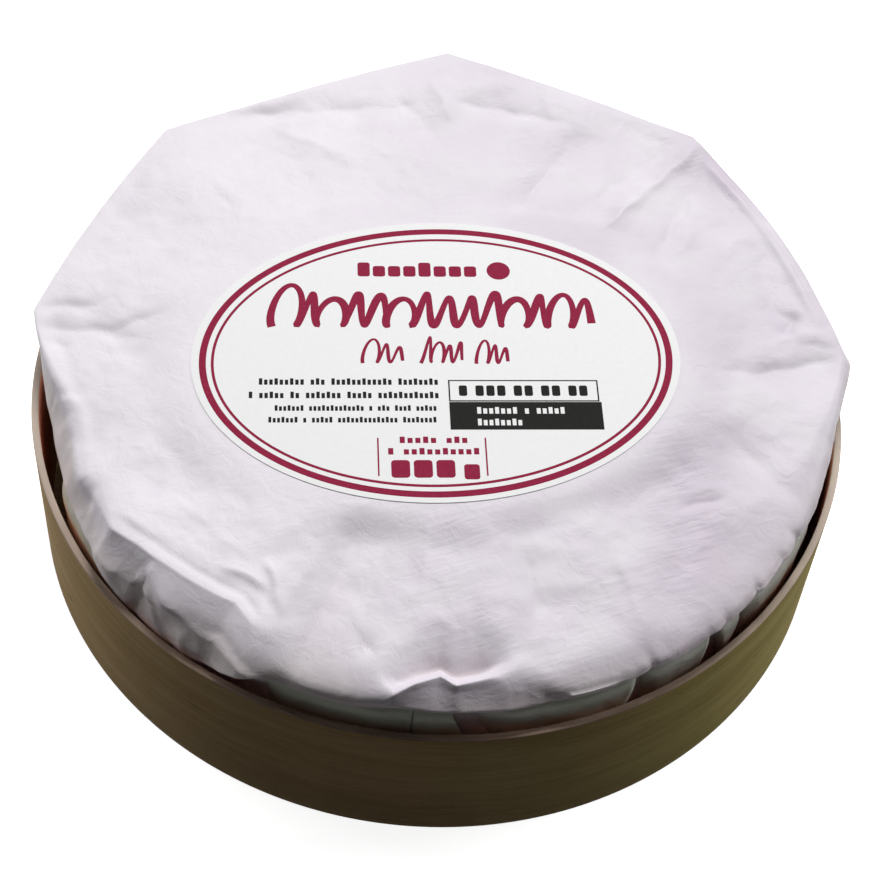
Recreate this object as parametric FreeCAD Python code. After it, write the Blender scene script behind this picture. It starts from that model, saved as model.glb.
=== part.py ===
import FreeCAD, Part
import math
import os

# A whole soft cheese of about 350 g, shut in folded white paper, in the open
# round box of thin poplar that it is sold in. Millimetres, +Z up, with the
# origin at the middle of the box's underside and the front at -Y.

os.makedirs("parts", exist_ok=True)

# Wooden box
hoop_outer_radius = 68.0
hoop_height = 27.9
strip_thickness = 1.2
lap_azimuth = 98.0           # where the strip's inner end stops, at the back
lap_length = 26.0            # how far the outer end runs on over the inner one
ramp_length = 16.0           # over which the strip climbs its own thickness
base_thickness = 2.0
base_clearance = 0.1         # all round, between the disc and the hoop

# Wrapped cheese
side_gap = 1.3               # between the paper's side and the hoop
pack_height = 34.0           # from the disc to the flat top
bottom_round = 4.0           # the paper's tucked lower edge, radial
bottom_rise = 5.0            # and how high that rounding reaches
heel_inset = 1.0             # the fullest part of that rounding, from the side
heel_rise = 1.75             # and above the disc
neck_height = 25.0           # above the disc, where the side starts to turn in
brow_height = 29.0           # above the disc, the upper part of that turn
brow_inset = 0.5
flat_top_inset = 11.5        # from the side to where the top is flat
shoulder_width = 4.0         # the soft band just inside the folded edge
shoulder_drop = 0.3          # how far that band lies under the flat top
ply_step = 0.8               # two plies of folded paper at a pleat's free edge
pleat_width_top = 1.5        # a pleat is narrow at the folded edge
pleat_width_bottom = 13.0    # and wide where it is tucked under

# Folded corners of the paper: azimuth in degrees, how far the corner stands out
# from the pack's side, how far it lies under the flat top, and how far the middle
# of the edge that follows stands out. Those at the back are ears over the rim,
# those in front are pressed down and crumpled.
folded_corners = [
    (4.0, 3.2, 0.6, 1.5),
    (54.0, 5.8, 0.3, 3.0),
    (93.5, 7.8, 0.3, 2.4),
    (138.5, 5.8, 0.4, 1.6),
    (178.0, 3.3, 0.5, -1.6),
    (220.0, -2.6, 1.0, -5.1),
    (248.0, -4.5, 1.0, -1.5),
    (272.0, -2.7, 1.4, -1.7),
    (320.0, -2.7, 1.6, -2.5),
]

# Crests that the crumpled paper raises along the front edge: azimuth at both
# ends, how far they stand out at both, width of the foot and height of the top.
crumpled_crests = [
    (217.0, 249.0, -4.5, -5.9, 4.6, 0.5),
    (267.0, 288.0, -3.1, -6.9, 4.0, 0.5),
]
crest_stations = 8
crest_depth = 2.2            # how deep the foot is rooted in the shoulder
crest_tip = 0.06             # share of the full swell's half wave cut off at each end
crest_sink = 1.0             # how far a crest would sink by where it has no swell

# Oval label
label_length = 81.3
label_width = 59.9
label_thickness = 0.15
label_turn = 9.7             # degrees, about the vertical
label_centre = (-0.8, -0.25)

hoop_inner_radius = hoop_outer_radius - strip_thickness
pack_side_radius = hoop_inner_radius - side_gap
pack_top = base_thickness + pack_height


def polar(azimuth, radius, height):
    angle = math.radians(azimuth)
    return FreeCAD.Vector(radius * math.cos(angle), radius * math.sin(angle), height)


def arc_between(start, end, radius, height=0.0):
    # Round the axis, counter-clockwise from one azimuth to the other.
    middle = (start + end) / 2
    return Part.Arc(polar(start, radius, height), polar(middle, radius, height),
                    polar(end, radius, height)).toShape()


def lapped_outline(radius, butt):
    # One face of the bent strip seen from above: round at its own radius, then
    # climbing one thickness along the ramp, and on to its end, cut square.
    raised = radius + strip_thickness
    ramp_start = lap_azimuth - math.degrees(ramp_length / radius)
    edges = [
        arc_between(butt - 360, ramp_start - 180, radius),
        arc_between(ramp_start - 180, ramp_start, radius),
        Part.makeLine(polar(ramp_start, radius, 0), polar(lap_azimuth, raised, 0)),
    ]
    if butt > lap_azimuth:
        edges.append(arc_between(lap_azimuth, butt, raised))
    edges.append(Part.makeLine(polar(butt, raised, 0), polar(butt, radius, 0)))
    return Part.Wire(edges)


def make_hoop():
    lap_end = lap_azimuth + math.degrees(lap_length / hoop_outer_radius)
    outside = lapped_outline(hoop_outer_radius, lap_end)
    inside = lapped_outline(hoop_inner_radius, lap_azimuth)
    strip = Part.Face(outside).cut(Part.Face(inside))
    return strip.extrude(FreeCAD.Vector(0, 0, hoop_height)).Solids[0]


def make_base():
    return Part.makeCylinder(hoop_inner_radius - base_clearance, base_thickness)


def corner_point(corner, level):
    azimuth, standout, drop = corner[:3]
    reach = pack_side_radius + standout
    if level == "folded edge":
        return polar(azimuth, reach, pack_top - drop)
    if level == "shoulder":
        return polar(azimuth, reach - shoulder_width, pack_top - shoulder_drop - drop / 2)
    radius, height = round_levels[level]
    return polar(azimuth, radius, height)


def span_arc(index, level):
    # The stretch of a section from one folded corner to the next, as an arc
    # through the middle of the paper's edge, or round the axis elsewhere.
    corner = folded_corners[index]
    following = folded_corners[(index + 1) % len(folded_corners)]
    start = corner_point(corner, level)
    end = corner_point(following, level)
    turn = (following[0] - corner[0]) % 360
    middle = corner[0] + turn / 2
    height = (start.z + end.z) / 2
    if level == "folded edge":
        radius = pack_side_radius + corner[3]
    elif level == "shoulder":
        radius = pack_side_radius + corner[3] - shoulder_width
    else:
        radius = round_levels[level][0]
    return Part.Arc(start, polar(middle, radius, height), end)


def pleat_width(level, height):
    if level == "flat top":
        return pleat_width_top
    share = (height - base_thickness) / pack_height
    return pleat_width_bottom + (pleat_width_top - pleat_width_bottom) * share


def section(level):
    # A closed loop of the paper at one level. From each corner the pleat's
    # outer ply runs on over the side and ends in a step at its free edge.
    edges = []
    for index in range(len(folded_corners)):
        arc = span_arc(index, level)
        start = arc.value(arc.FirstParameter)
        end = arc.value(arc.LastParameter)
        sweep = arc.LastParameter - arc.FirstParameter
        share = pleat_width(level, start.z) / arc.length()
        foot = arc.value(arc.FirstParameter + sweep * share)
        crown = arc.value(arc.FirstParameter + sweep * (1 + share) / 2)
        outward = FreeCAD.Vector(foot.x, foot.y, 0).normalize()
        free_edge = foot + outward * ply_step * step_share[level]
        edges.append(Part.makeLine(start, free_edge))
        edges.append(Part.makeLine(free_edge, foot))
        edges.append(Part.Arc(foot, crown, end).toShape())
    return Part.Wire(edges)


# Radius and height of the levels that are round, from the bottom up.
round_levels = {
    "underside": (pack_side_radius - bottom_round, base_thickness),
    "heel": (pack_side_radius - heel_inset, base_thickness + heel_rise),
    "foot": (pack_side_radius, base_thickness + bottom_rise),
    "neck": (pack_side_radius, base_thickness + neck_height),
    "brow": (pack_side_radius - brow_inset, base_thickness + brow_height),
    "flat top": (pack_side_radius - flat_top_inset, pack_top),
}
# How much of the full step a pleat keeps at each level, from the bottom up along
# the outside and then in over the top, which is the order that they are joined in.
step_share = {
    "underside": 1.0, "heel": 1.0, "foot": 1.0, "neck": 1.0, "brow": 0.9,
    "folded edge": 0.6, "shoulder": 0.3, "flat top": 0.1,
}


def make_crest(start, end, start_standout, end_standout, width, height):
    # A ridge of paper with a three-cornered section, fading out at both ends.
    sections = []
    for station in range(crest_stations + 1):
        share = station / crest_stations
        swell = math.sin(math.pi * (crest_tip + (1 - 2 * crest_tip) * share))
        azimuth = start + (end - start) * share
        standout = start_standout + (end_standout - start_standout) * share
        radius = pack_side_radius + standout
        foot = pack_top - crest_depth
        crest = pack_top - shoulder_drop + height * swell - crest_sink * (1 - swell)
        half = width / 2 * swell
        corners = [
            polar(azimuth, radius - half, foot),
            polar(azimuth, radius + half, foot),
            polar(azimuth, radius, crest),
        ]
        sections.append(Part.makePolygon(corners + corners[:1]))
    return Part.makeLoft(sections, True, True)


def make_pack():
    wires = [section(level) for level in step_share]
    body = Part.makeLoft(wires, True, True)
    crests = [make_crest(*crest) for crest in crumpled_crests]
    return body.fuse(crests).removeSplitter()


def make_label():
    ellipse = Part.Ellipse(FreeCAD.Vector(0, 0, 0), label_length / 2, label_width / 2)
    face = Part.Face(Part.Wire(ellipse.toShape()))
    label = face.extrude(FreeCAD.Vector(0, 0, label_thickness))
    label.rotate(FreeCAD.Vector(0, 0, 0), FreeCAD.Vector(0, 0, 1), label_turn)
    label.translate(FreeCAD.Vector(label_centre[0], label_centre[1], pack_top))
    return label


pieces = {
    "box_hoop": make_hoop(),
    "box_base": make_base(),
    "wrapped_cheese": make_pack(),
    "label": make_label(),
}
for name, shape in pieces.items():
    shape.exportStep("parts/" + name + ".step")
    print(name, shape.isValid(), len(shape.Solids), round(shape.Volume / 1000, 2), "cm3")
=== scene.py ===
import math
import bmesh
import bpy
import numpy as np
from mathutils import Matrix, Vector, noise


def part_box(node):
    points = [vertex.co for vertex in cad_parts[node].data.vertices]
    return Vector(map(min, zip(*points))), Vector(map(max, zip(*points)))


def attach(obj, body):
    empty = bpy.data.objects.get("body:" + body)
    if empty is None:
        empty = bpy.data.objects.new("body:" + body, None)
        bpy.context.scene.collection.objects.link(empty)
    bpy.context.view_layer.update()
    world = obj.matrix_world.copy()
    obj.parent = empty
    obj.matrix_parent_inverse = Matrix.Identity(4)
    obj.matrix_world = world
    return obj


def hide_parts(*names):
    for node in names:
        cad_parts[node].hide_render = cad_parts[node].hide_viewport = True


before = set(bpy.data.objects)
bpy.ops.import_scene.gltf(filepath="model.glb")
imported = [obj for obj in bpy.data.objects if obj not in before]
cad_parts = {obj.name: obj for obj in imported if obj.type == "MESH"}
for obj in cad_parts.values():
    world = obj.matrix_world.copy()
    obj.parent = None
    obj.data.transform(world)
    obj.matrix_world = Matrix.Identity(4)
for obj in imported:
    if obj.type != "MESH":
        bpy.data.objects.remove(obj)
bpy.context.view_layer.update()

# A whole soft cheese in folded white paper, in its open poplar box.
# Lengths are in millimetres and are turned to metres as they are used, but for the
# sizes of patterns in the materials, which are in metres.
mm = 0.001

hoopLow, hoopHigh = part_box("box_hoop")
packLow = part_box("wrapped_cheese")[0]
labelLow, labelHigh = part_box("label")
hoopRadius = -hoopLow.x / mm        # outside, the lap at the back doesn't reach this far
rimHeight = hoopHigh.z / mm
floorOfBox = packLow.z / mm         # the disc's upper face
flatTop = labelLow.z / mm           # where the label lies
labelTop = labelHigh.z / mm


# ---- helpers

def hexColor(code):
    # sRGB hex to the linear colour that the shader wants
    parts = [int(code[i:i + 2], 16) / 255 for i in (1, 3, 5)]
    linear = [c / 12.92 if c <= 0.04045 else ((c + 0.055) / 1.055) ** 2.4 for c in parts]
    return (*linear, 1.0)


def fillInputs(node, inputs):
    # sets a plain value, and links a socket or a node's first output
    for name, value in inputs.items():
        if isinstance(value, bpy.types.Node):
            value = value.outputs[0]
        if isinstance(value, bpy.types.NodeSocket):
            node.id_data.links.new(value, node.inputs[name])
        else:
            node.inputs[name].default_value = value


def addNode(owner, kind, inputs=None, **settings):
    # adds a node to a material or a world, sets its properties and fills its inputs
    node = owner.node_tree.nodes.new(kind)
    for name, value in settings.items():
        setattr(node, name, value)
    fillInputs(node, inputs or {})
    return node


def addRamp(material, factor, stops):
    ramp = addNode(material, "ShaderNodeValToRGB", {"Fac": factor})
    for element, (position, code) in zip(ramp.color_ramp.elements, stops):
        element.position = position
        element.color = hexColor(code)
    return ramp


def newMaterial(name, settings):
    # the material, its shader and the place on the object in metres
    material = bpy.data.materials.new(name)
    material.use_nodes = True
    shader = material.node_tree.nodes["Principled BSDF"]
    fillInputs(shader, settings)
    return material, shader, addNode(material, "ShaderNodeTexCoord").outputs["Object"]


def newPiece(name, bm, materials, node, smooth=True):
    bmesh.ops.recalc_face_normals(bm, faces=bm.faces)
    mesh = bpy.data.meshes.new(name)
    bm.to_mesh(mesh)
    bm.free()
    piece = bpy.data.objects.new(name, mesh)
    bpy.context.scene.collection.objects.link(piece)
    for material in materials:
        mesh.materials.append(material)
    for face in mesh.polygons:
        face.use_smooth = smooth
    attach(piece, "root")
    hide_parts(node)
    print("piece", name, len(mesh.polygons), "faces")


def vertsOf(made):
    return [item for item in made["geom"] if isinstance(item, bmesh.types.BMVert)]


def breakEdges(bm, size):
    # takes the sharp edges off, by that much
    bmesh.ops.recalc_face_normals(bm, faces=bm.faces)
    sharp = [edge for edge in bm.edges if edge.calc_face_angle(0) > 1]
    bmesh.ops.bevel(bm, geom=sharp, offset=size * mm, affect="EDGES", segments=2,
                    profile=0.5, material=-1)


def polar(azimuth, radius, height):
    angle = math.radians(azimuth)
    return Vector((radius * math.cos(angle), radius * math.sin(angle), height)) * mm


def smoothStep(low, high, value):
    share = np.clip((value - low) / (high - low), 0, 1)
    return share * share * (3 - 2 * share)


def between(span, azimuths):
    # 1 inside a span of azimuths that says where it starts, is whole, fades and ends
    start, whole, fade, end = span
    return smoothStep(start, whole, azimuths) * (1 - smoothStep(fade, end, azimuths))


def noiseAt(x, y, z, size, shift=0.0):
    # Perlin noise over arrays of places in millimetres, with lumps of that size
    x, y, z = np.broadcast_arrays(x, y, z)
    flat = zip(x.ravel() / size + shift, y.ravel() / size - shift, z.ravel() / size)
    return np.array([noise.noise(Vector(place)) for place in flat]).reshape(x.shape)


# ---- materials

def makeCheesePaper(name, sides):
    # waxed cheese paper, calendered: close to white with a cool cast, a soft satin
    # sheen, fine streaks from the machine and a little cockle between the folds
    material, shader, place = newMaterial(name, {"IOR": 1.47, "Specular IOR Level": 0.32})
    parts = addNode(material, "ShaderNodeSeparateXYZ", {"Vector": place})
    cloud = addNode(material, "ShaderNodeTexNoise",
                    {"Vector": place, "Scale": 1 / 0.009, "Detail": 4.0, "Roughness": 0.55})
    color = addRamp(material, cloud, [(0.35, "#ece5ed"), (0.65, "#f3eef4")])
    # greyer in soft patches, and darker towards the right of the top: the patches are tone,
    # the darkening to the right is painted shade
    greyPatchesAndShade = addNode(material, "ShaderNodeTexNoise",
                    {"Vector": place, "Scale": 1 / 0.024, "Detail": 2.0})
    greyPatchesAndShade = addNode(material, "ShaderNodeMapRange",
                    {"Value": greyPatchesAndShade, "From Min": 0.35, "From Max": 0.62, "To Min": 0.4})
    # painted shade, growing from the left of the top to the right
    across = addNode(material, "ShaderNodeMapRange",
                     {"Value": parts.outputs["X"], "From Min": -0.03, "From Max": 0.045,
                      "To Min": 0.1})
    greyPatchesAndShade = addNode(material, "ShaderNodeMath", {0: greyPatchesAndShade, 1: across}, operation="MULTIPLY")
    color = addNode(material, "ShaderNodeMixRGB",
                    {"Fac": greyPatchesAndShade, "Color1": color, "Color2": hexColor("#e4dfe5")},
                    blend_type="MULTIPLY")
    # on the folded sides the given tint is multiplied in: painted reflected light, a warm
    # cast as from the wood on the wrap and a grey-green one on the front plies
    folded = addNode(material, "ShaderNodeMapRange",
                     {"Value": parts.outputs["Z"], "From Min": (flatTop - 1.5) * mm,
                      "From Max": (flatTop - 4) * mm})
    color = addNode(material, "ShaderNodeMixRGB",
                    {"Fac": folded, "Color1": color, "Color2": hexColor(sides)},
                    blend_type="MULTIPLY")
    # streaks under a millimetre apart, in patches, all lying one way across the sheet
    turned = addNode(material, "ShaderNodeMapping",
                     {"Vector": place, "Rotation": (0, 0, math.radians(25)),
                      "Scale": (0.006, 0.0008, 0.0008)}, vector_type="TEXTURE")
    streaks = addNode(material, "ShaderNodeTexNoise",
                      {"Vector": turned, "Scale": 1.0, "Detail": 2.0})
    patches = addNode(material, "ShaderNodeTexNoise",
                      {"Vector": place, "Scale": 1 / 0.022, "Detail": 1.0})
    patches = addNode(material, "ShaderNodeMapRange",
                      {"Value": patches, "From Min": 0.42, "From Max": 0.62})
    side = addNode(material, "ShaderNodeMapRange",
                   {"Value": parts.outputs["X"], "From Min": -0.045, "From Max": 0.02,
                    "To Min": 0.25})
    for mask in (patches, side):
        streaks = addNode(material, "ShaderNodeMath", {0: streaks, 1: mask},
                          operation="MULTIPLY")
    bump = addNode(material, "ShaderNodeBump",
                   {"Height": streaks, "Strength": 0.26, "Distance": 0.0003})
    # cockle: dents of two millimetres or so, left by handling
    cockle = addNode(material, "ShaderNodeTexNoise",
                     {"Vector": place, "Scale": 1 / 0.0035, "Detail": 3.0,
                      "Roughness": 0.6, "Distortion": 0.6})
    bump = addNode(material, "ShaderNodeBump",
                   {"Height": cockle, "Strength": 0.32, "Distance": 0.0004, "Normal": bump})
    # the flat facets of crumpled paper, half a centimetre across, on the folds
    facets = addNode(material, "ShaderNodeTexVoronoi",
                     {"Vector": place, "Scale": 1 / 0.0055})
    bump = addNode(material, "ShaderNodeBump",
                   {"Height": facets, "Strength": folded, "Distance": 0.00032,
                    "Normal": bump})
    # and the paper's own fibre
    fibre = addNode(material, "ShaderNodeTexNoise",
                    {"Vector": place, "Scale": 1 / 0.0006, "Detail": 3.0})
    bump = addNode(material, "ShaderNodeBump",
                   {"Height": fibre, "Strength": 0.2, "Distance": 0.00005, "Normal": bump})
    gloss = addNode(material, "ShaderNodeMapRange",
                    {"Value": cloud, "From Min": 0.3, "From Max": 0.7,
                     "To Min": 0.40, "To Max": 0.54})
    fillInputs(shader, {"Base Color": color, "Normal": bump, "Roughness": gloss})
    return material


def makeVeneer(name, dark, light, wrapped=False):
    # rotary-cut poplar veneer, bare and unsanded: pale tan, fibres drawn out along
    # the strip, short dark pores and a few flecks of bark
    material, shader, place = newMaterial(
        name, {"Roughness": 0.78, "IOR": 1.45, "Specular IOR Level": 0.15})
    if wrapped:
        # round the hoop: along the strip, up it, and through it, in metres
        turned = addNode(material, "ShaderNodeMapping",
                         {"Vector": place, "Rotation": (0, 0, math.radians(60.5))})
        parts = addNode(material, "ShaderNodeSeparateXYZ", {"Vector": turned})
        angle = addNode(material, "ShaderNodeMath",
                        {0: parts.outputs["Y"], 1: parts.outputs["X"]},
                        operation="ARCTAN2")
        along = addNode(material, "ShaderNodeMath", {0: angle, 1: hoopRadius * mm},
                        operation="MULTIPLY")
        flat = addNode(material, "ShaderNodeVectorMath", {0: place, 1: (1, 1, 0)},
                       operation="MULTIPLY")
        through = addNode(material, "ShaderNodeVectorMath", {0: flat},
                          operation="LENGTH").outputs["Value"]
        place = addNode(material, "ShaderNodeCombineXYZ",
                        {"X": along, "Y": parts.outputs["Z"], "Z": through})
    # fibres, the broad bands of the growth rings and flecks: length and width in
    # metres, detail and roughness
    drawn = []
    for length, width, detail, rough in ((0.012, 0.0006, 5.0, 0.6), (0.060, 0.006, 2.0, 0.5),
                                         (0.006, 0.0022, 1.0, 0.5)):
        stretched = addNode(material, "ShaderNodeMapping",
                            {"Vector": place, "Scale": (1 / length, 1 / width, 1 / width)})
        drawn.append(addNode(material, "ShaderNodeTexNoise",
                             {"Vector": stretched, "Scale": 1.0, "Detail": detail,
                              "Roughness": rough}))
    fibres, bands, flecks = drawn
    grain = addNode(material, "ShaderNodeMath", {0: fibres, 1: bands}, operation="ADD")
    grain = addNode(material, "ShaderNodeMath", {0: grain, 1: 0.5}, operation="MULTIPLY")
    color = addRamp(material, grain, [(0.36, dark), (0.62, light)])
    flecks = addNode(material, "ShaderNodeMapRange",
                     {"Value": flecks, "From Min": 0.74, "From Max": 0.80, "To Max": 0.55})
    color = addNode(material, "ShaderNodeMixRGB",
                    {"Fac": flecks, "Color1": color, "Color2": hexColor("#5e4426")})
    if wrapped:
        # poplar heartwood: brown, with a green-yellow cast multiplied in at the front right:
        # painted green reflected light
        sides = addNode(material, "ShaderNodeSeparateXYZ", {"Vector": flat})
        right = addNode(material, "ShaderNodeMapRange",
                        {"Value": sides.outputs["X"], "From Min": 0.0, "From Max": 0.05})
        front = addNode(material, "ShaderNodeMapRange",
                        {"Value": sides.outputs["Y"], "From Min": 0.04, "From Max": -0.02})
        paintedGreenCast = addNode(material, "ShaderNodeMath", {0: right, 1: front},
                        operation="MULTIPLY")
        color = addNode(material, "ShaderNodeMixRGB",
                        {"Fac": paintedGreenCast, "Color1": color, "Color2": hexColor("#eeffd8")},
                        blend_type="MULTIPLY")
        # the inside is given a bright salmon tone, painted bounce light that lifts the shaded
        # gap; the sawn rim is paler than the wall and darker towards the front, painted
        # shadow of the pack on the front rim
        # painted bounce light: the inside face takes a bright salmon tone
        inside = addNode(material, "ShaderNodeMapRange",
                         {"Value": through, "From Min": (hoopRadius - 1.0) * mm,
                          "From Max": (hoopRadius - 1.15) * mm})
        rim = addNode(material, "ShaderNodeMapRange",
                      {"Value": parts.outputs["Z"], "From Min": (rimHeight - 0.30) * mm,
                       "From Max": (rimHeight - 0.18) * mm})
        # painted shadow: the rim darkens from the back towards the front
        paler = addNode(material, "ShaderNodeMapRange",
                        {"Value": sides.outputs["Y"], "From Min": -0.055,
                         "From Max": -0.008})
        rimToneAndShade = addRamp(material, grain, [(0.40, "#876d5d"), (0.60, "#ad9685")])
        rimToneAndShade = addNode(material, "ShaderNodeMixRGB",
                       {"Fac": paler, "Color1": rimToneAndShade, "Color2": hexColor("#dccdbe")})
        for mask, tone in ((inside, hexColor("#ffb594")), (rim, rimToneAndShade)):
            color = addNode(material, "ShaderNodeMixRGB",
                            {"Fac": mask, "Color1": color, "Color2": tone})
    bump = addNode(material, "ShaderNodeBump",
                   {"Height": fibres, "Strength": 0.4, "Distance": 0.0001})
    fillInputs(shader, {"Base Color": color, "Normal": bump})
    return material


def makeLabelPaper():
    # coated sticker paper: even light grey-white with a silky face
    material, shader, place = newMaterial(
        "coatedStickerPaper", {"Roughness": 0.5, "IOR": 1.5, "Specular IOR Level": 0.2})
    grain = addNode(material, "ShaderNodeTexNoise",
                    {"Vector": place, "Scale": 1 / 0.0008, "Detail": 2.0})
    color = addRamp(material, grain, [(0.3, "#f4f4f4"), (0.7, "#f7f7f7")])
    bump = addNode(material, "ShaderNodeBump",
                   {"Height": grain, "Strength": 0.1, "Distance": 0.00003})
    fillInputs(shader, {"Base Color": color, "Normal": bump})
    return material


def makeInk(name, code, paler):
    # offset ink on the sticker: flat colour, thinner where the paper's tooth shows
    material, shader, place = newMaterial(
        name, {"Roughness": 0.6, "IOR": 1.5, "Specular IOR Level": 0.08})
    tooth = addNode(material, "ShaderNodeTexNoise",
                    {"Vector": place, "Scale": 1 / 0.0005, "Detail": 2.0})
    fillInputs(shader, {"Base Color": addRamp(material, tooth, [(0.4, code), (0.9, paler)])})
    return material


# the folded sides of the wrap get a warm cast: painted light bounced from the wood
cheesePaper = makeCheesePaper("waxedCheesePaper", "#f7f3ec")
# the plies at the front take a grey-green cast on their folded sides: painted green reflected
# light
greenLitPaper = makeCheesePaper("waxedCheesePaperGreenLit", "#e1ead3")
hoopVeneer = makeVeneer("poplarVeneerBent", "#a98c5d", "#cbae80", wrapped=True)
baseVeneer = makeVeneer("poplarVeneerDisc", "#b09468", "#ccb187")
stickerPaper = makeLabelPaper()
crimsonInk = makeInk("crimsonInk", "#931b3f", "#a02a4c")
blackInk = makeInk("blackInk", "#1d1d1b", "#262624")
whiteInk = makeInk("unprintedWhite", "#fbfbfb", "#f6f6f6")
print("materials done")


# ---- the label's place

label = {
    "centre": (-0.80, -0.25), "turn": 9.7, "printTurn": 6.6,    # turns in degrees
    "half": (40.6, 29.9), "sunk": 0.1,
    "inkRise": 0.03, "inkLayer": 0.008,
    # where the paper round it starts to have relief and has all of it, and where it is
    # held flat and let go, in half sizes of the label
    "relief": (1.03, 1.3), "flat": (1.02, 1.25),
    # each printed oval: half sizes outside and inside, and its shift
    "rings": [((39.3, 28.7), (38.15, 27.5), (0, -0.2)),
              ((37.35, 26.52), (36.87, 26.0), (0, -0.35))],
}


# ---- the folded paper round the cheese

paper = {
    "columns": 640,           # round the pack
    # azimuth, reach and height of the folded edge, how far the edge that follows bows
    # out, and how soft the fold is there
    "edge": [
        (7, 67.9, 35.5, 3.4, 0.5),
        (54, 71.2, 35.7, 0.5, 0.5),
        (93.5, 73.9, 35.9, 0.7, 0.4),
        (138.5, 71.2, 35.7, 1.2, 0.5),
        (178, 68.7, 35.5, 0.2, 0.5),
        (184, 66.4, 35.4, 0.1, 0.8),
        (190, 64.0, 35.4, 0.0, 1.4),
        (194, 62.3, 35.4, 0.0, 1.6),
        (197, 61.4, 35.4, 0.1, 2.4),
        (203, 61.6, 35.4, 0.1, 2.4),
        (209, 62.8, 35.4, 0.0, 1.6),
        (212, 62.2, 35.4, 0.0, 2.0),
        (216, 62.1, 35.5, 0.0, 1.0),
        (219.8, 63.0, 35.7, 0.0, 0.4),
        (225, 61.3, 35.8, 0.1, 0.4),
        (231, 60.4, 35.8, 0.1, 0.4),
        (236, 59.7, 35.8, 0.1, 0.4),
        (242, 58.9, 35.8, 0.0, 0.4),
        (245.8, 60.6, 35.6, 0.0, 0.5),
        (248.5, 62.4, 35.4, 0.3, 3.0),
        (254, 64.2, 34.0, 0.3, 11.0),
        (261, 65.0, 34.2, 0.1, 10.0),
        (267.8, 64.9, 35.1, 0.0, 0.6),
        (270.5, 62.9, 35.6, 0.0, 0.4),
        (274, 61.3, 35.6, 0.0, 0.4),
        (276, 62.9, 35.5, 0.0, 0.4),
        (281, 61.7, 35.5, 0.0, 0.5),
        (286, 61.4, 35.4, 0.3, 2.5),
        (292, 64.0, 34.6, 0.3, 8.0),
        (302, 65.2, 34.4, 0.5, 9.0),
        (314, 65.0, 34.4, 0.5, 9.0),
        (326, 64.8, 34.5, 0.5, 8.5),
        (340, 64.6, 34.8, 0.3, 6.0),
        (352, 65.0, 35.2, 0.3, 2.5),
        (359, 66.0, 35.4, 0.2, 1.0),
    ],
    # azimuth, then radius and height of the lip where the paper turns under, and the
    # radius of the side just below it
    "lip": [
        (7, 69.6, 33.0, 65.8), (16, 67.0, 33.4, 65.6), (40, 67.0, 33.4, 65.4),
        (54, 69.5, 33.2, 65.4), (66, 67.0, 33.4, 65.4), (93.5, 70.2, 33.0, 65.4),
        (110, 67.0, 33.4, 65.4), (138.5, 69.4, 33.0, 65.4), (160, 66.6, 33.4, 65.2),
        (178, 67.6, 32.6, 65.2), (184, 66.4, 31.4, 64.8),
        (191, 65.3, 30.0, 64.0), (195, 64.8, 29.4, 63.6), (200, 64.7, 29.0, 63.6),
        (204, 64.8, 29.0, 63.8), (210, 65.3, 29.2, 64.0), (216, 65.8, 30.2, 64.4),
        (220, 66.0, 30.8, 64.6), (224, 65.8, 29.6, 64.4),
        (228, 65.9, 26.6, 64.0), (235, 65.9, 26.2, 63.6), (241, 65.9, 27.2, 63.4),
        (245, 65.6, 30.0, 63.4), (249, 65.2, 31.8, 64.2), (254, 65.6, 31.2, 64.6),
        (262, 65.7, 31.2, 64.6), (268, 66.1, 32.9, 64.8), (277, 66.0, 32.3, 64.6),
        (286, 65.3, 31.4, 64.4),
        (296, 65.7, 32.0, 64.4), (310, 65.7, 32.1, 64.4), (330, 65.6, 32.1, 64.2),
        (345, 65.8, 31.9, 64.6), (356, 66.3, 32.2, 65.2),
    ],
    "underTurn": 0.7,         # drop from the lip to where the side starts
    "lowSide": 7.0,           # height above the floor of the start of the lower rounding
    "lowRound": 4.5,
    "belowRim": 3.0,
    "clear": 1.35,            # in from the hoop's outside
    "highest": 0.8,           # above the flat top
    "ringsTop": 74, "ringsFold": 7, "ringsSide": 20, "ringsUnder": 6,
}


def paperEdge(azimuths):
    # the folded edge's reach, height and softness at each azimuth: straight between
    # the folds, and bowed out by its own amount
    reach, height, soft = [np.zeros(len(azimuths)) for _ in range(3)]
    stations = paper["edge"]
    for index, (start, r1, z1, bow, s1) in enumerate(stations):
        end, r2, z2, _, s2 = stations[(index + 1) % len(stations)]
        turn = (end - start) % 360
        gone = (azimuths - start) % 360
        here = gone < turn
        share = gone[here] / turn
        total = math.sin(math.radians(turn))
        ahead = np.sin(np.radians(turn - gone[here]))
        behind = np.sin(np.radians(gone[here]))
        chord = r1 * r2 * total / (r1 * behind + r2 * ahead)
        reach[here] = chord + bow * 4 * share * (1 - share)
        height[here] = z1 + (z2 - z1) * share
        soft[here] = s1 + (s2 - s1) * share
    return reach, height, soft


def aroundRing(values, azimuths):
    stations = [row[0] for row in paper["lip"]]
    return [np.interp(azimuths, stations, column, period=360) for column in values]


def roundedPath(corners):
    # from corner to corner down the meridians, each corner rounded by its softness:
    # rows of (radius, height), one per ring, for every column at once
    places = [np.array(corner[:2]) for corner in corners]
    rows = []
    last = places[0]
    for index in range(1, len(corners)):
        here = stop = places[index]
        soft, rings, bends = corners[index][2:]
        inward = here - last
        run = np.maximum(np.linalg.norm(inward, axis=0), 1e-6)
        if bends:
            outward = places[index + 1] - here
            rest = np.maximum(np.linalg.norm(outward, axis=0), 1e-6)
            stop = here - inward / run * np.minimum(soft, run * 0.2)
            ahead = here + outward / rest * np.minimum(soft, rest * 0.75)
        # closer together towards the rim of the sheet, where the folds are
        even = 0.6 if index == 1 else 1
        for step in range(rings):
            rows.append(last + (stop - last) * (step / rings) ** even)
        for step in range(bends):
            share = step / bends
            rows.append(stop * (1 - share) ** 2 + here * 2 * share * (1 - share)
                        + ahead * share ** 2)
        last = ahead
    rows.append(places[-1])
    return np.array(rows)


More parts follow.
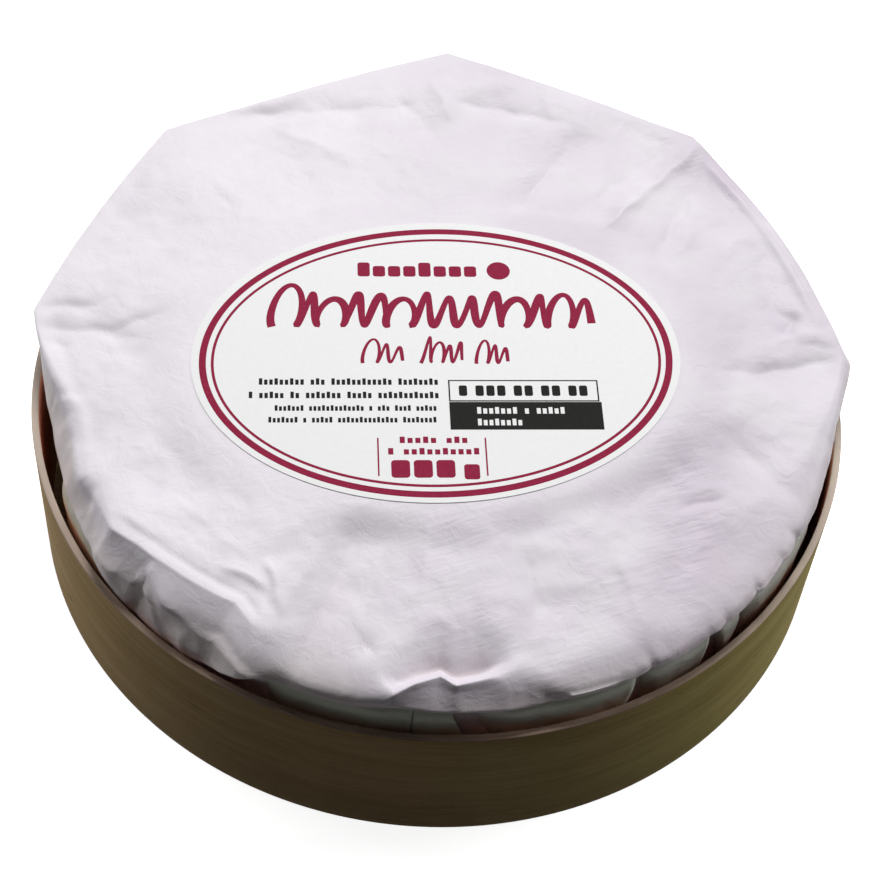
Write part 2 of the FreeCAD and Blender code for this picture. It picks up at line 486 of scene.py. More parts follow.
# Creases pressed into the top: start, end, width on the steep side and on the other,
# and height. The steep side is to the right of the way from start to end.
topCreases = [
    (-67, -0.9, -53, 0.2, 9, 1.8, -0.75),
    (-55, 0.2, -46, 5.4, 7, 1.2, -0.5),
    (-57, -0.6, -41, -2.6, 5, 0.9, -0.3),
    (-68, 3.2, -58, 5.0, 3, 1.4, -0.45),
    (-66, -3.6, -61, -4.4, 1.4, 0.7, -0.3),
    (-66, -13, -58, -14.8, 0.5, 3, -0.6),
    (-63, -20, -55, -24, 1.6, 4, -0.7),
    (53, 3.6, 67.5, 8.4, 9, 1.5, -0.75),
    (46, 2.6, 55, 4.0, 7, 0.9, -0.35),
    (60, 10.4, 67, 10.0, 2, 0.9, -0.35),
    (43.5, 56, 25, 31, 2.4, 1.6, 0.9),
    (38, 54.5, 21, 36, 5, 4, -0.7),
    (20, 54, 10, 34, 4, 6, -0.9),
    (44, 50, 34, 24, 4, 5, -0.7),
    (43, 52, 40, 28, 1.8, 3, 0.4),
    (52, 32, 57, 14, 4, 5, -0.6),
    (-14, 58, -46, 52, 3, 5, -0.8),
    (-34, 50, -20, 44, 3, 4, 0.4),
    (-1, 61, 18, 58, 1.6, 3.4, -0.7),
    (-7, 66, -2, 56, 2, 2, 0.6),
    (-12, 60, -4, 50, 3, 3, -0.6),
    (-40, -33, -24, -46, 0.5, 2.6, 0.12),
    (-23.5, -44, -20.5, -52.5, 0.5, 2.4, 0.5),
    (-30, -45.5, -23, -48.5, 0.5, 1.8, 0.5),
    (-20, -50, -15, -55, 1.4, 2.4, -0.2),
    (-50, -36, -42, -41, 0.5, 2.2, 0.25),
    (-47, -30, -36, -34, 1.8, 3, -0.2),
    (-10, -55, -6, -57.5, 0.6, 1.2, -0.4),
    (22, -58, 40, -48, 1.6, 3.4, 0.5),
    (40, -26, 47, -23, 0.5, 1.4, -0.5),
    (57, 12, 60, 16, 0.5, 1.5, -0.7),
    (30, -36, 36, -52, 2.4, 3.4, 0.5),
    (16, -38, 18, -50, 2.4, 3.4, -0.5),
    (48, -10, 58, -22, 2.4, 4, -0.5),
]
# And into the face of the crumpled flap: how far round from the middle of the front and
# how far down from the fold, for both ends, with the same widths and height.
frontRadius = 62              # where the way round is measured
flapCreases = [
    (-43.8, 3.6, -38.6, 11.0, 0.8, 2.4, 1.5),
    (-45.6, 3.0, -42.9, 4.8, 0.5, 0.8, 1.0),
    (-45.0, 5.4, -41.5, 5.8, 0.5, 0.9, -0.8),
    (-35.3, 5.6, -35.0, 11.5, 0.7, 2.2, 1.3),
    (-35.6, 5.7, -29.4, 7.0, 0.8, 1.8, 1.0),
    (-37.5, 3.8, -22.5, 3.3, 0.7, 1.6, -1.2),
    (-41.5, 2.2, -23.5, 2.0, 1.0, 1.4, 0.7),
    (-42.0, 5.6, -38.0, 8.0, 1.0, 1.6, -1.0),
    (-54.0, 3.0, -47.0, 8.0, 1.6, 2.4, 0.7),
    (-29.0, 8.5, -24.0, 6.0, 0.8, 1.6, 0.8),
    (-32.5, 9.0, -31.0, 11.5, 0.8, 1.2, -0.8),
]


# Nicks where a pleat starts under the soft fold on the right, placed in the same way.
nicks = [
    (69.3, 1.0, 70.2, 7.0, 0.5, 1.4, -1.2),
    (65.0, 2.0, 65.4, 6.0, 0.5, 1.6, -0.5),
    (58.4, 1.0, 57.6, 7.0, 0.5, 1.5, -1.2),
    (50.9, 1.5, 50.0, 6.0, 0.5, 1.2, -0.9),
    (47.6, 1.5, 47.0, 6.0, 0.4, 1.0, -0.7),
    (36.8, 1.0, 35.6, 7.0, 0.5, 1.4, -1.2),
    (31.4, 1.5, 31.0, 6.0, 0.5, 1.0, -0.6),
    (20.0, 2.0, 20.6, 7.0, 1.2, 2.0, -0.5),
    (-12.0, 1.0, -10.6, 6.0, 1.2, 2.0, -0.4),
    (-62.0, 1.0, -60.0, 7.0, 0.8, 1.8, -0.7),
    (-75.0, 1.0, -74.0, 8.0, 1.0, 2.4, -0.6),
    (-84.0, 1.0, -83.0, 8.0, 0.8, 2.0, -0.5),
]


def creaseRelief(creases, x, y):
    total = np.zeros(np.shape(x))
    for x1, y1, x2, y2, steep, gentle, height in creases:
        length = math.hypot(x2 - x1, y2 - y1)
        ux, uy = (x2 - x1) / length, (y2 - y1) / length
        along = (x - x1) * ux + (y - y1) * uy
        left = (y - y1) * ux - (x - x1) * uy
        left = left + 0.25 * np.sin(along * 0.9 + x1)
        fade = smoothStep(-0.2 * length, 0.2 * length, along)
        fade *= 1 - smoothStep(0.7 * length, 1.2 * length, along)
        width = np.where(left > 0, gentle, steep)
        total += height * fade * np.exp(-np.abs(left) / width)
    return total


# ridges and dips along the top's edge: azimuths where each starts, is whole, fades and
# ends, then height, how far in from the edge it lies, its width inwards and outwards
edgeRidges = [
    # the flap's fold is pinched up, with a shallow valley behind it
    ((217, 223, 244, 247), -0.25, 2.2, 0.7, 0.7),
    # more so in the middle of the front, where the sheet dips before its crest
    ((266.2, 269.4, 279, 285), 0.35, 0.0, 0.9, math.inf),
    ((264.5, 272.5, 279, 285), -2.9, 2.6, 4.0, 1.1),
    # and the edge of the right side stands up over a strip that falls away
    ((10, 20, 44, 52), 0.55, 2.4, 1.0, 1.0),
]
rightStrip = {"span": (10, 20, 44, 52), "drop": 0.5, "starts": 2.0, "whole": 0.4}

flap = {
    "span": (217, 224, 247, 253),
    "length": 11.5,           # down its face, from the fold to the lip
    "creased": 0.4,           # how deep its own creases are pressed
    # its ridge, below a face that looks up and above one that drops to the rim:
    # azimuth, how far down it lies and how far out it stands
    "ridge": [(217, 4.5, 2.0), (227.4, 4.5, 2.0), (228.4, 1.3, 1.3), (233, 2.6, 3.3),
              (240, 4.4, 3.1), (250, 4.6, 2.4)],
}

wrinkles = {
    "span": (185, 196, 350, 358),
    "below": 3.0, "reach": 3.2,     # down from the fold, and how far they fade
    "height": 0.2, "nicked": 0.6, "sides": 0.25,
}


def fromLabel(x, y):
    # 1 on the label's edge, less inside it
    turn = math.radians(label["turn"])
    x, y = x - label["centre"][0], y - label["centre"][1]
    return np.hypot((x * math.cos(turn) + y * math.sin(turn)) / label["half"][0],
                    (y * math.cos(turn) - x * math.sin(turn)) / label["half"][1])


def foldedRows(azimuths):
    # radius and height of every ring at each azimuth, before any relief, and the
    # reach of the folded edge
    reach, height, soft = paperEdge(azimuths)
    lipRadius, lipHeight, side = aroundRing(list(zip(*paper["lip"]))[1:], azimuths)
    zeros = np.zeros(len(azimuths))
    # from the middle out and down: radius, height, how softly the sheet turns there, how
    # many rings lead to it and how many go round it
    corners = [
        (zeros, zeros + flatTop, 0, 0, 0),
        (reach, height, soft, paper["ringsTop"], paper["ringsFold"]),
        (lipRadius, lipHeight, 0.5, paper["ringsSide"], 4),
        (side, lipHeight - paper["underTurn"], 0.3, 3, 3),
        (side, zeros + rimHeight - paper["belowRim"], 2.0, 3, 2),
        (side, zeros + floorOfBox + paper["lowSide"], 3.0, 6, 3),
        (side - paper["lowRound"], zeros + floorOfBox, 2.0, 4, 3),
        (zeros, zeros + floorOfBox, 0, paper["ringsUnder"], 0),
    ]
    return roundedPath(corners), reach


def spinSheet(rings):
    # a flat round sheet spun from one line of points, one ring to the millimetre
    bm = bmesh.new()
    line = [bm.verts.new((ring * mm, 0, 0)) for ring in range(rings)]
    for inner, outer in zip(line, line[1:]):
        bm.edges.new((inner, outer))
    bmesh.ops.spin(bm, geom=bm.verts[:] + bm.edges[:], cent=(0, 0, 0), axis=(0, 0, 1),
                   angle=math.tau, steps=paper["columns"], use_merge=True)
    bmesh.ops.remove_doubles(bm, verts=bm.verts, dist=0.01 * mm)
    return bm


def topRelief(x, y, inside, azimuths):
    # swells, creases and the ridges along the edge, with nothing under the label
    relief = 1.1 * (0.55 * noiseAt(x, y, 0, 26, 3.1)
                    + 0.42 * noiseAt(x * 0.5 + y * 0.5, y * 0.7 - x * 0.7, 0, 11, 7.7)
                    + 0.10 * noiseAt(x, y, 0, 4.2, 1.3) + 0.05 * noiseAt(x, y, 0, 2.1, 6.3))
    relief += creaseRelief(topCreases, x, y) - 0.12
    relief *= smoothStep(*label["relief"], fromLabel(x, y))
    relief *= 0.4 + 0.6 * smoothStep(0, 4, inside)
    for span, height, inset, widthIn, widthOut in edgeRidges:
        width = np.where(inside > inset, widthIn, widthOut)
        ridge = np.exp(-np.abs(inside - inset) / width)
        relief += height * ridge * between(span, azimuths)
    fallen = 1 - smoothStep(rightStrip["whole"], rightStrip["starts"], inside)
    return relief - rightStrip["drop"] * fallen * between(rightStrip["span"], azimuths)


def sidePush(down, azimuths):
    # how far the folded side stands out: the crumpled flap, then small wrinkles that
    # run down over the soft fold
    length = flap["length"]
    onFlap = between(flap["span"], azimuths)
    onFlap = onFlap * smoothStep(-0.2, 0.9, down) * (1 - smoothStep(length, length + 2, down))
    arc = np.radians(azimuths - 270) * frontRadius
    push = onFlap * creaseRelief(flapCreases, arc, down) * flap["creased"]
    places, ridgeDown, ridgeOut = zip(*flap["ridge"])
    ridgeDown = np.interp(azimuths, places, ridgeDown)
    ridgeOut = np.interp(azimuths, places, ridgeOut)
    push += onFlap * ridgeOut * np.minimum(down / ridgeDown,
                                           (length - down) / (length - ridgeDown))
    wrinkle = noiseAt(azimuths * 0.9, down * 0.35, 0, 4.2, 5.0)
    wrinkle += 0.6 * noiseAt(azimuths * 0.9, down * 0.45, 0, 1.7, 9.0)
    wrinkle *= between(wrinkles["span"], azimuths) * (1 - onFlap) * wrinkles["height"]
    wrinkle += creaseRelief(nicks, arc, down) * wrinkles["nicked"]
    nearFold = np.exp(-((down - wrinkles["below"]) / wrinkles["reach"]) ** 2)
    return push + nearFold * wrinkle


def makePaperWrap():
    columns = paper["columns"]
    azimuths = np.arange(columns) * 360 / columns
    rows, reach = foldedRows(azimuths)
    rings = len(rows)
    bm = spinSheet(rings)

    # folded over the cheese
    radius, level = rows[:, 0, :].copy(), rows[:, 1, :].copy()
    angle = np.radians(azimuths)
    x, y = radius * np.cos(angle), radius * np.sin(angle)
    topRings = paper["ringsTop"] + paper["ringsFold"]
    onTop = 1 - smoothStep(topRings - 4, topRings + 6, np.arange(rings)[:, None])
    level += topRelief(x, y, reach - radius, azimuths) * onTop
    # the sheet lies flat under the label
    level += (flatTop - level) * (1 - smoothStep(*label["flat"], fromLabel(x, y))) * onTop
    steps = np.hypot(np.diff(rows[:, 0, :], axis=0), np.diff(rows[:, 1, :], axis=0))
    path = np.vstack([np.zeros((1, columns)), np.cumsum(steps, axis=0)])
    down = path - path[topRings - paper["ringsFold"] // 2 - 1]
    radius += sidePush(down, azimuths * np.ones((rings, 1)))
    radius += (1 - onTop) * wrinkles["sides"] * noiseAt(x, y, level, 6, 4.0)
    # clear of the hoop, below its rim
    room = hoopRadius - paper["clear"] + 9 * smoothStep(rimHeight, rimHeight + 3, level)
    radius = np.minimum(radius, room)
    x, y = radius * np.cos(angle), radius * np.sin(angle)
    level = np.clip(level, floorOfBox, flatTop + paper["highest"])
    for vert in bm.verts:
        ring = round(vert.co.length / mm)
        turn = math.degrees(math.atan2(vert.co.y, vert.co.x)) % 360
        column = 0 if ring in (0, rings - 1) else round(turn / 360 * columns) % columns
        vert.co = Vector((x[ring, column], y[ring, column], level[ring, column])) * mm
    bmesh.ops.remove_doubles(bm, verts=bm.verts, dist=0.004 * mm)
    newPiece("paperWrap", bm, [cheesePaper], "wrapped_cheese")


makePaperWrap()


# ---- plies of folded paper that lie on the pack's side

plies = {
    "thickness": 0.16,        # two sheets, drawn a little thick
    "radius": 66.0,
    "bottom": 20.0,
    "tuck": 2.6,              # how far the top turns in under the fold
    "lean": 0.5,              # and the bottom lies in from the radius
    "ripple": 0.14,
    # azimuths of both ends at the top and at the bottom, height of the top, and how
    # far the left and right ends lie in from the ply's radius
    "spans": [
        (205, 226, 203, 229, 30.6, 0.9, 0.2),
        (248, 270.5, 252, 270.5, 32.4, 1.6, 0.1),
        (270.6, 275.4, 270.6, 279, 32.0, 0.0, 0.0),
        (277.5, 301.6, 281.5, 298.6, 32.5, 1.6, 0.0),
        (301.5, 313.9, 303, 311.2, 33.2, 1.6, 0.0),
        (314.5, 319.8, 317.5, 317.0, 33.2, 1.4, 0.0),
        (319.9, 340, 322.0, 337, 33.2, 1.6, 0.2),
        (340, 356, 344, 352, 32.6, 1.2, 0.3),
        (6, 30, 6, 34, 33.0, 0.0, 0.4), (54, 74, 54, 78, 33.0, 0.0, 0.4),
        (93.5, 114, 93.5, 118, 33.0, 0.0, 0.4), (138.5, 158, 138.5, 162, 33.0, 0.0, 0.4),
    ],
}


def makePlies():
    bm = bmesh.new()
    for top0, top1, low0, low1, rise, leftIn, rightIn in plies["spans"]:
        made = bmesh.ops.create_grid(bm, x_segments=36, y_segments=22, size=0.5)
        # those at the front get the painted green reflected light, those at the back the
        # wrap's own paper
        for face in {face for vert in made["verts"] for face in vert.link_faces}:
            face.material_index = 1 if top0 < 180 else 0
        for vert in made["verts"]:
            across, up = vert.co.x + 0.5, vert.co.y + 0.5
            start = low0 + (top0 - low0) * up
            end = low1 + (top1 - low1) * up
            azimuth = start + (end - start) * across
            level = plies["bottom"] + (rise - plies["bottom"]) * up
            inset = leftIn * (1 - across) ** 9 + rightIn * across ** 9
            tuck = plies["tuck"] * up ** 9 + plies["lean"] * (1 - up)
            ripple = noise.noise(Vector((azimuth / 3.0, level / 5.0, top0)))
            radius = plies["radius"] - inset - tuck + plies["ripple"] * ripple
            vert.co = polar(azimuth, radius, level)
    sheet = bmesh.ops.extrude_face_region(bm, geom=bm.faces[:], use_keep_orig=True)
    for vert in vertsOf(sheet):
        shrink = 1 - plies["thickness"] * mm / math.hypot(vert.co.x, vert.co.y)
        vert.co.x, vert.co.y = vert.co.x * shrink, vert.co.y * shrink
    newPiece("paperPlies", bm, [greenLitPaper, cheesePaper],
             "wrapped_cheese")


makePlies()
print("paper done")


# ---- the box

hoop = {
    "strip": 1.2,             # thickness of the veneer
    "ease": 0.12,             # cut edges, barely broken
    "steps": 256,
    "unevenRim": 0.12, "unevenFrom": 0.8,       # the upper fifth of its height
    "lapStart": 84.5,         # degrees, at the back
    "lapFull": 98.0,
    "lapEnd": 119.5,
    "lapSteps": 40,
    "lapBite": 0.3,           # how deep the lap reaches into the ring
    "lapEase": 0.06,
}


def makeHoop():
    bm = bmesh.new()
    outer, inner = hoopRadius, hoopRadius - hoop["strip"]
    profile = [polar(0, inner, 0), polar(0, outer, 0), polar(0, outer, rimHeight),
               polar(0, inner, rimHeight)]
    verts = [bm.verts.new(place) for place in profile]
    edges = [bm.edges.new((verts[i], verts[(i + 1) % 4])) for i in range(4)]
    bmesh.ops.subdivide_edges(bm, edges=[edges[1], edges[3]], cuts=5)
    bmesh.ops.subdivide_edges(bm, edges=[edges[0], edges[2]], cuts=2)
    bmesh.ops.spin(bm, geom=bm.verts[:] + bm.edges[:], cent=(0, 0, 0), axis=(0, 0, 1),
                   angle=math.tau, steps=hoop["steps"], use_merge=True)
    bmesh.ops.remove_doubles(bm, verts=bm.verts, dist=0.01 * mm)
    breakEdges(bm, hoop["ease"])
    for vert in bm.verts:
        share = vert.co.z / (rimHeight * mm) - hoop["unevenFrom"]
        share = max(0, share) / (1 - hoop["unevenFrom"])
        place = vert.co / mm
        vert.co.z -= hoop["unevenRim"] * mm * share * (
            0.5 + noise.noise(Vector((place.x / 9, place.y / 9, 0))))
    newPiece("poplarHoop", bm, [hoopVeneer], "box_hoop")


def makeLap():
    # the strip's outer end, running on over the ring for the length of the lap
    bm = bmesh.new()
    outer, inner = hoopRadius, hoopRadius - hoop["lapBite"]
    verts = [bm.verts.new(polar(hoop["lapStart"], radius, level))
             for radius, level in ((inner, 0), (outer, 0), (outer, rimHeight),
                                   (inner, rimHeight))]
    section = bm.faces.new(verts)
    turn = math.radians(hoop["lapEnd"] - hoop["lapStart"])
    bmesh.ops.spin(bm, geom=[section] + section.edges[:] + verts, cent=(0, 0, 0),
                   axis=(0, 0, 1), angle=turn, steps=hoop["lapSteps"], use_merge=False)
    uprights = [edge for edge in bm.edges
                if abs(edge.verts[0].co.z - edge.verts[1].co.z) > 5 * mm]
    bmesh.ops.subdivide_edges(bm, edges=uprights, cuts=6, use_grid_fill=True)
    breakEdges(bm, hoop["lapEase"])
    for vert in bm.verts:
        azimuth = math.degrees(math.atan2(vert.co.y, vert.co.x))
        climb = smoothStep(hoop["lapStart"] - 3, hoop["lapFull"], azimuth)
        radius = math.hypot(vert.co.x, vert.co.y) / mm
        if radius > (outer + inner) / 2:
            radius += hoop["strip"] * climb - 0.02
        place = polar(azimuth, radius, 0)
        vert.co.x, vert.co.y = place.x, place.y
    newPiece("poplarLap", bm, [hoopVeneer], "box_hoop")


makeHoop()
makeLap()
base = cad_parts["box_base"]
base.data.materials.clear()
base.data.materials.append(baseVeneer)
print("box done")


# ---- the label

def labelMatrix(turn):
    centre = Vector((*label["centre"], 0)) * mm
    return Matrix.Translation(centre) @ Matrix.Rotation(math.radians(turn), 4, "Z")


def moveUp(bm, verts, rise):
    bmesh.ops.translate(bm, vec=(0, 0, rise * mm), verts=verts)


def makeSticker():
    bm = bmesh.new()
    bmesh.ops.create_circle(bm, cap_ends=True, segments=192, radius=1.0)
    bmesh.ops.scale(bm, vec=(label["half"][0] * mm, label["half"][1] * mm, 1),
                    verts=bm.verts)
    moveUp(bm, bm.verts, flatTop - label["sunk"])
    grown = bmesh.ops.extrude_face_region(bm, geom=bm.faces[:])
    moveUp(bm, vertsOf(grown), labelTop - flatTop + label["sunk"] - label["inkRise"])
    bmesh.ops.transform(bm, matrix=labelMatrix(label["turn"]), verts=bm.verts)
    newPiece("ovalLabel", bm, [stickerPaper], "label", smooth=False)


makeSticker()


def liftInk(bm, verts, matrix, layer=0):
    # turns flat shapes drawn round the label's centre into thin slabs of ink on it
    base = (labelTop - label["inkRise"] - 0.01 + layer * label["inkLayer"]) * mm
    bmesh.ops.transform(bm, matrix=Matrix.Translation((0, 0, base)) @ matrix, verts=verts)
    faces = list({face for vert in verts for face in vert.link_faces})
    grown = bmesh.ops.extrude_face_region(bm, geom=faces)
    moveUp(bm, vertsOf(grown), label["inkRise"] * 0.6)


def addRing(bm, outer, inner, shift):
    loops = []
    for half in (outer, inner):
        made = bmesh.ops.create_circle(bm, cap_ends=False, segments=192, radius=1.0)
        bmesh.ops.scale(bm, vec=(half[0] * mm, half[1] * mm, 1), verts=made["verts"])
        bmesh.ops.translate(bm, vec=(shift[0] * mm, shift[1] * mm, 0), verts=made["verts"])
        loops.append(made["verts"])
    edges = list({edge for verts in loops for vert in verts for edge in vert.link_edges})
    bmesh.ops.bridge_loops(bm, edges=edges)
    liftInk(bm, loops[0] + loops[1], labelMatrix(label["turn"]))


def addBar(bm, left, right, middle, height, rounding=0.3, layer=0):
    # a bar with rounded corners, level with the print
    made = bmesh.ops.create_grid(bm, x_segments=1, y_segments=1, size=0.5)
    verts = made["verts"]
    bmesh.ops.scale(bm, vec=((right - left) * mm, height * mm, 1), verts=verts)
    bmesh.ops.translate(bm, vec=((left + right) / 2 * mm, middle * mm, 0), verts=verts)
    if rounding > 0:
        size = min(height, right - left) * rounding * mm
        rounded = bmesh.ops.bevel(bm, geom=verts, offset=size, affect="VERTICES",
                                  segments=4, profile=0.5, material=-1)
        verts = list({vert for face in rounded["faces"] for vert in face.verts}
                     | set(rounded["verts"]))
    liftInk(bm, verts, labelMatrix(label["printTurn"]), layer)


def addWords(bm, left, right, middle, height, words, layer=0):
    # A line of small print as plain upright ticks, grouped as words of so many ticks.
    # The ticks are uneven in height in a set order, as small and tall letters would be.
    pitch = (right - left) / (sum(words) + len(words) - 1)
    low = middle - height / 2
    x, count = left, 0
    for word in words:
        for _ in range(word):
            tall = height * tickHeights[count % len(tickHeights)]
            addBar(bm, x, x + pitch * tickShare, low + tall / 2, tall, 0, layer)
            x += pitch
            count += 1
        x += pitch


def addDisc(bm, x, y, radius):
    made = bmesh.ops.create_circle(bm, cap_ends=True, segments=40, radius=radius * mm)
    bmesh.ops.translate(bm, vec=(x * mm, y * mm, 0), verts=made["verts"])
    liftInk(bm, made["verts"], labelMatrix(label["printTurn"]))


def finishInk(name, bm, ink):
    bmesh.ops.remove_doubles(bm, verts=bm.verts, dist=0.0005 * mm)
    newPiece(name, bm, [ink], "label", smooth=False)


# The print, from the label's middle with x to the right and y up. Bars are left, right,
# middle, height and rounding, and lines of ticks left, right, middle, height and words.
tickHeights = (1.0, 0.8, 0.82, 1.0, 0.8, 0.78, 1.0, 0.8, 0.84, 0.8, 1.0, 0.8)
tickShare = 0.66              # a tick's width in its pitch

crimsonPrint = {
    "heading": {"start": -12.9, "pitch": 2.6, "width": 2.1, "foot": 17.5,
                "heights": (3.2, 2.4, 2.4, 2.4, 3.2, 2.4, 2.4, 2.4)},
    "disc": (11.2, 18.9, 2.0),
    "words": [(-6.8, 4.5, -17.5, 1.3, (5, 3)), (-8.7, 6.3, -19.8, 1.3, (1, 10))],
    "bars": [(-8.3, -5.3, -23.3, 3.5, 0.2), (-4.7, -1.7, -23.3, 3.5, 0.2),
             (-1.1, 1.9, -23.3, 3.5, 0.2), (3.3, 5.8, -23.9, 3.0, 0.2),
             (-10.43, -10.17, -20.9, 7.6, 0), (6.87, 7.13, -20.9, 7.6, 0)],
}
blackPrint = {
    "words": [(-29.4, 0.1, -5.5, 1.35, (9, 3, 12, 8)),
              (-31.0, 0.1, -8.3, 1.35, (1, 5, 2, 7, 5, 12)),
              (-26.8, -0.4, -11.0, 1.15, (7, 13, 1, 3, 4, 5)),
              (-27.8, -0.5, -13.4, 1.15, (7, 1, 5, 14, 8))],
    "bars": [(1.5, 26.5, -12.6, 5.7, 0), (1.5, 26.2, -7.4, 4.5, 0)],
}
whitePrint = {
    "words": [(6.0, 20.6, -11.5, 1.35, (7, 1, 5)), (6.0, 13.5, -13.9, 1.35, (8,))],
    "bars": [(1.75, 25.95, -7.4, 4.0, 0)],
}
numberBars = {"start": 3.2, "groups": (1, 3, 2, 2, 2), "pitch": 1.78, "gap": 0.95,
              "width": 1.35, "middle": -7.4, "height": 2.2, "rounding": 0.25}


def addPrint(bm, rows, layer=0):
    for words in rows["words"]:
        addWords(bm, *words, layer=layer)
    for bar in rows["bars"]:
        addBar(bm, *bar, layer=layer)


def makeCrimsonPrint():
    bm = bmesh.new()
    for outer, inner, shift in label["rings"]:
        addRing(bm, outer, inner, shift)
    heading = crimsonPrint["heading"]
    for index, tall in enumerate(heading["heights"]):
        x = heading["start"] + index * heading["pitch"]
        addBar(bm, x, x + heading["width"], heading["foot"] + tall / 2, tall, 0.22)
    addDisc(bm, *crimsonPrint["disc"])
    addPrint(bm, crimsonPrint)
    finishInk("printCrimson", bm, crimsonInk)


def makeFlatPrint(name, rows, ink, layer):
    bm = bmesh.new()
    addPrint(bm, rows, layer)
    finishInk(name, bm, ink)


def makeNumberBars():
    bm = bmesh.new()
    x = numberBars["start"]
    for group in numberBars["groups"]:
        for _ in range(group):
            addBar(bm, x, x + numberBars["width"], numberBars["middle"],
                   numberBars["height"], numberBars["rounding"], 2)
            x += numberBars["pitch"]
        x += numberBars["gap"]
    finishInk("printBars", bm, blackInk)


def addStroke(name, runs, width, ink):
    # a brush stroke along a smooth line, thick and thin, flattened to ink
    curve = bpy.data.curves.new(name, "CURVE")
    curve.dimensions = "3D"
    curve.bevel_depth = width / 2 * mm
    curve.bevel_resolution = 3
    curve.resolution_u = 8
    curve.use_fill_caps = True
    for run in runs:
        spline = curve.splines.new("NURBS")
        spline.points.add(len(run) - 1)
        for point, (x, y, thick) in zip(spline.points, run):
            point.co = (x * mm, y * mm, 0, 1)
            point.radius = thick
        spline.order_u = 4
        spline.use_endpoint_u = True
    drawn = bpy.data.objects.new(name, curve)
    mesh = bpy.data.meshes.new_from_object(drawn)
    bpy.data.objects.remove(drawn)
    bm = bmesh.new()
    bm.from_mesh(mesh)
    bpy.data.meshes.remove(mesh)
    bmesh.ops.scale(bm, vec=(1, 1, label["inkLayer"] / (width / 2)), verts=bm.verts)
    rise = Matrix.Translation((0, 0, (labelTop - label["inkRise"] + 0.004) * mm))
    bmesh.ops.transform(bm, matrix=rise @ labelMatrix(label["printTurn"]), verts=bm.verts)
    finishInk(name, bm, ink)


def scribble(start, end, low, height, loops):
    # a running pen line of upright humps, some of them looped, leaning to the right,
    # the first one taller
    run = []
    pitch = (end - start) / len(loops)
    for index, loop in enumerate(loops):
        reach = height * (1.35 if index == 0 else 1 + 0.1 * math.sin(index * 2.3))
        for step in range(8):
            phase = step * math.pi / 4
            up = (1 - math.cos(phase)) / 2 * reach
            x = start + pitch * (index + step / 8) + loop * pitch * math.sin(phase)
            run.append((x + 0.15 * up, low + up, 1 + 0.2 * math.cos(phase + index)))
    return run


makeCrimsonPrint()
makeFlatPrint("printBlack", blackPrint, blackInk, 0)
makeFlatPrint("printWhite", whitePrint, whiteInk, 1)
makeNumberBars()
addStroke("printScribble",
          [scribble(-27.4, 26.6, 6.2, 7.2,
                    (-0.42, 0.05, -0.38, 0.02, -0.06, -0.36, 0.04, 0.0, 0.06, -0.02,
                     -0.34, 0.05, -0.30, -0.02))], 1.2, crimsonInk)
addStroke("printThinScribble",
          [scribble(-12.4, -5.6, -1.6, 4.0, (-0.34, 0.03, 0.0)),
           scribble(-2.8, 4.2, -1.6, 4.4, (0.02, -0.34, 0.0, 0.04)),
           scribble(6.4, 11.8, -1.7, 3.9, (-0.3, 0.02, 0.0))], 0.55, crimsonInk)
print("label done")


# ---- floor, light and camera

studio = {
    "lens": 85.12, "sensor": 36.0,
    "camera": (1.81, -223.71, 304.29), "target": (1.81, -17.92, 36.0), "roll": 5.18,
    "floorSize": 4000.0, "floorGlow": 0.88, "worldLight": 0.045,
    "aim": (0, 0, 20),        # where the lamps point
}

# one soft light high behind, and a weaker one on either side of it
lamps = {
    "main": {"size": (600, 420), "place": (40, 880, 1170), "power": 15.75},
    "left": {"size": (400, 400), "place": (-720, 330, 260), "power": 2.8},
    "right": {"size": (400, 400), "place": (700, 300, 400), "power": 2.9},
}


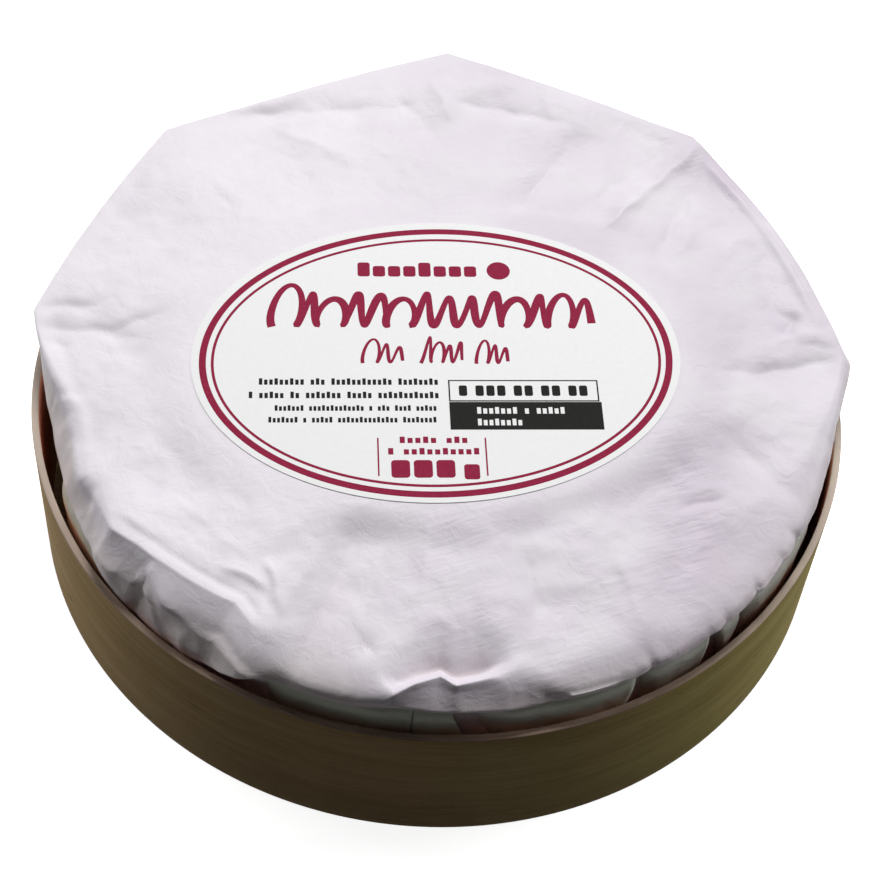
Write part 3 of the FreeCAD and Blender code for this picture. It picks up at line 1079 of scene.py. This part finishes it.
def makeFloorMaterial():
    # a white sweep to the eye, which throws little light back up at the box
    material = bpy.data.materials.new("paleStudioFloor")
    material.use_nodes = True
    material.node_tree.nodes.clear()
    path = addNode(material, "ShaderNodeLightPath")
    seen = path.outputs["Is Camera Ray"]
    for ray in ("Is Glossy Ray", "Is Transmission Ray"):
        seen = addNode(material, "ShaderNodeMath", {0: seen, 1: path.outputs[ray]},
                       operation="MAXIMUM")
    pale = addNode(material, "ShaderNodeBsdfDiffuse", {"Color": hexColor("#ffffff")})
    glow = addNode(material, "ShaderNodeEmission",
                   {"Color": hexColor("#ffffff"), "Strength": studio["floorGlow"]})
    white = addNode(material, "ShaderNodeAddShader", {0: pale, 1: glow})
    quiet = addNode(material, "ShaderNodeBsdfDiffuse", {"Color": hexColor("#484848")})
    mix = addNode(material, "ShaderNodeMixShader", {0: seen, 1: quiet, 2: white})
    addNode(material, "ShaderNodeOutputMaterial", {"Surface": mix})
    return material


def makeFloor():
    bm = bmesh.new()
    bmesh.ops.create_grid(bm, x_segments=1, y_segments=1, size=studio["floorSize"] / 2 * mm)
    mesh = bpy.data.meshes.new("floor")
    bm.to_mesh(mesh)
    bm.free()
    mesh.materials.append(makeFloorMaterial())
    floor = bpy.data.objects.new("floor", mesh)
    bpy.context.scene.collection.objects.link(floor)


def addLamp(name, size, place, power):
    light = bpy.data.lights.new(name, "AREA")
    light.shape = "RECTANGLE"
    light.size, light.size_y = size[0] * mm, size[1] * mm
    light.energy = power
    lamp = bpy.data.objects.new(name, light)
    lamp.location = Vector(place) * mm
    aim = Vector(studio["aim"]) - Vector(place)
    lamp.rotation_euler = aim.to_track_quat("-Z", "Y").to_euler()
    bpy.context.scene.collection.objects.link(lamp)


def makeStudio():
    scene = bpy.context.scene
    world = bpy.data.worlds.new("studio")
    scene.world = world
    world.use_nodes = True
    seen = addNode(world, "ShaderNodeLightPath").outputs["Is Camera Ray"]
    level = addNode(world, "ShaderNodeMapRange",
                    {"Value": seen, "To Min": studio["worldLight"]})
    fillInputs(world.node_tree.nodes["Background"],
               {"Color": hexColor("#ffffff"), "Strength": level})
    for name, lamp in lamps.items():
        addLamp(name, **lamp)
    camera = bpy.data.cameras.new("camera")
    camera.lens = studio["lens"]
    camera.sensor_width = studio["sensor"]
    camera.clip_start = 0.01
    holder = bpy.data.objects.new("camera", camera)
    scene.collection.objects.link(holder)
    place, target = Vector(studio["camera"]) * mm, Vector(studio["target"]) * mm
    look = (target - place).to_track_quat("-Z", "Y").to_matrix().to_4x4()
    roll = Matrix.Rotation(math.radians(studio["roll"]), 4, "Z")
    holder.matrix_world = Matrix.Translation(place) @ look @ roll
    scene.camera = holder
    scene.view_settings.view_transform = "Standard"


makeFloor()
makeStudio()
print("studio done")
